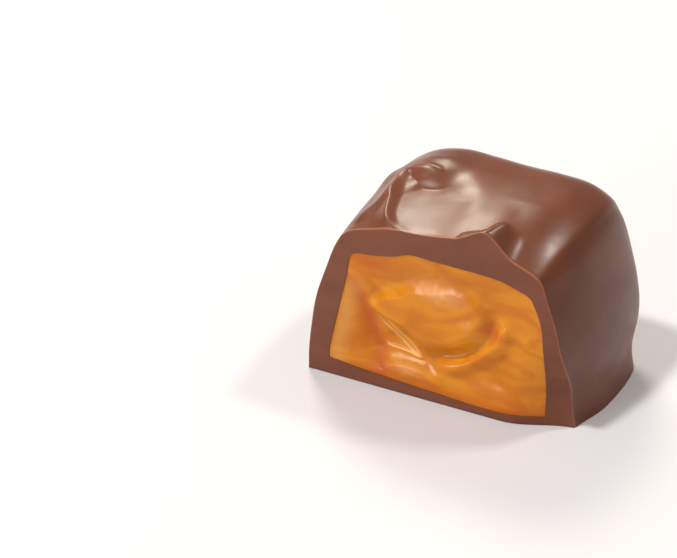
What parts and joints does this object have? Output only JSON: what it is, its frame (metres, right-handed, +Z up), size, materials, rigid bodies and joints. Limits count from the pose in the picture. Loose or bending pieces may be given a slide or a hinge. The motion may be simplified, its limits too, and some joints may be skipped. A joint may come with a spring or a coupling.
{
  "type": "chocolate-covered caramel, cut half",
  "caption": "Half of a soft caramel in a chocolate coating, cut open; the swirled filling shows on the flat cut, and it rests on its flat underside.",
  "frame": {"origin": "bottom centre of the piece's box, on the surface it rests on", "axes": "+X along the cut face, from its left foot to its chipped right foot, +Y from the cut to the back, +Z up"},
  "size_m": [0.0268, 0.0174, 0.0186],
  "materials": {
    "chocolate": "satin milk chocolate, paler and matte on the cut",
    "caramel": "soft, wet-looking caramel, smeared in swirls by the cut"
  },
  "bodies": {
    "root": {"chocolate_coating": "chocolate", "caramel_filling": "caramel"}
  },
  "joints": []
}
